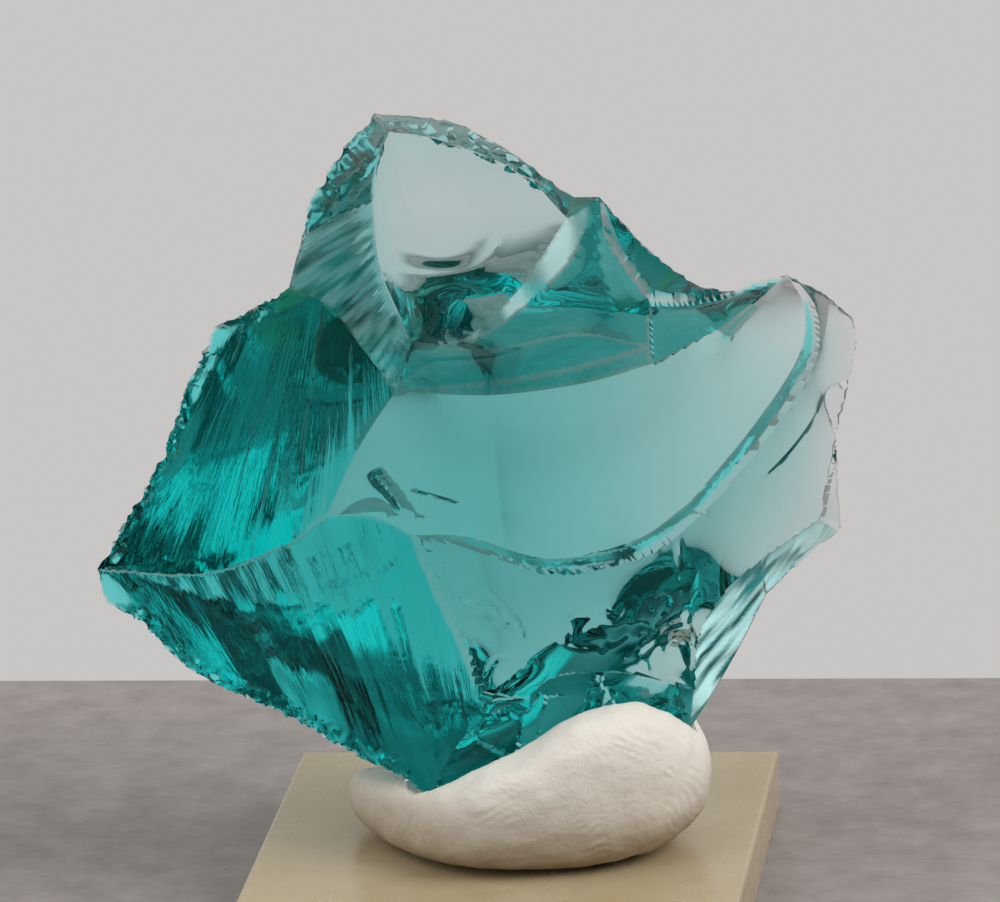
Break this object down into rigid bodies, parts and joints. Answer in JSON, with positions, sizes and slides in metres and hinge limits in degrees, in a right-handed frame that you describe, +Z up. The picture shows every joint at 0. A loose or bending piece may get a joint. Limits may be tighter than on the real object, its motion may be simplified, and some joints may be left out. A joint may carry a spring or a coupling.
{
  "type": "andara glass specimen",
  "caption": "Broken lump of clear blue-green glass with curved break faces and sharp ridges, held upright by white putty on a small square clear base.",
  "frame": {"origin": "centre of the base plate's underside", "axes": "+X to the viewer's right, -Y to the front, +Z up; the plate's sides lie along X and Y"},
  "size_m": [0.0383, 0.0254, 0.0391],
  "materials": {
    "teal_glass": "clear blue-green glass with polished-looking break faces, streaked hackle on the left and chipped edges",
    "white_putty": "off-white mounting putty, matte, with fingerprint ridges",
    "yellowed_acrylic": "clear acrylic, yellowed and slightly dusty"
  },
  "bodies": {
    "root": {"andara_glass": "teal_glass", "mounting_putty": "white_putty", "base_plate": "yellowed_acrylic"}
  },
  "joints": []
}
